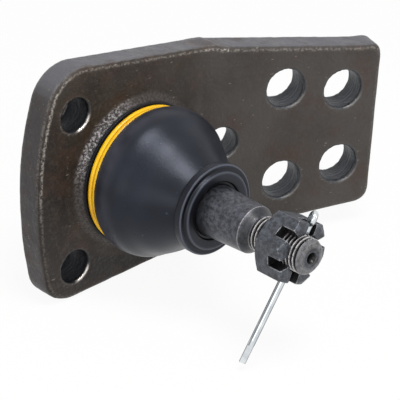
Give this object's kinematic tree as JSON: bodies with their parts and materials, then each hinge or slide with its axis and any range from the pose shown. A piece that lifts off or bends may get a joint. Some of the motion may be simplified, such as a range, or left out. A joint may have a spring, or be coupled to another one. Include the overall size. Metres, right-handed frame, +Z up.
{
  "type": "ball joint",
  "caption": "Suspension ball joint forged in one with a bent, drilled plate, with a tapered threaded stud, rubber boot, wire clamp ring, castle nut and split pin.",
  "frame": {"origin": "centre of the ball, which every swing of the stud turns about", "axes": "the stud points along -Y at rest; +Z runs up the width of the plate; +X runs from the stud towards the bend and the arm"},
  "size_m": [0.1845, 0.1443, 0.1101],
  "materials": {
    "plate_housing": "satin, brown-black phosphated and oiled forging",
    "upper_bearing": "moulded acetal",
    "lower_bearing": "moulded acetal",
    "pressure_cup": "stamped steel",
    "disc_spring": "spring steel",
    "cover_plate": "stamped steel",
    "ball_stud": "dark quenched and ground steel",
    "dust_boot": "smooth moulded rubber",
    "clamp_ring": "gloss yellow coated spring wire",
    "lip_ring": "turned steel",
    "castle_nut": "black steel",
    "cotter_pin": "bright zinc"
  },
  "bodies": {
    "housing": {"plate_housing": "plate_housing", "upper_bearing": "upper_bearing", "lower_bearing": "lower_bearing", "pressure_cup": "pressure_cup", "disc_spring": "disc_spring", "cover_plate": "cover_plate", "clamp_ring": "clamp_ring"},
    "boot": {"dust_boot": "dust_boot"},
    "lip": {"lip_ring": "lip_ring"},
    "stud": {"ball_stud": "ball_stud", "castle_nut": "castle_nut", "cotter_pin": "cotter_pin"}
  },
  "joints": [
    {"name": "swing_up", "type": "hinge", "parent": "housing", "child": "boot", "pos_m": [0, 0, 0], "axis": [1, 0, 0], "range_deg": [-15, 15], "deforming": ["dust_boot"]},
    {"name": "swing_across", "type": "hinge", "parent": "boot", "child": "lip", "pos_m": [0, 0, 0], "axis": [0, 0, 1], "range_deg": [-15, 15]},
    {"name": "stud_spin", "type": "hinge", "parent": "lip", "child": "stud", "pos_m": [0, 0, 0], "axis": [0, -1, 0], "continuous": true}
  ]
}
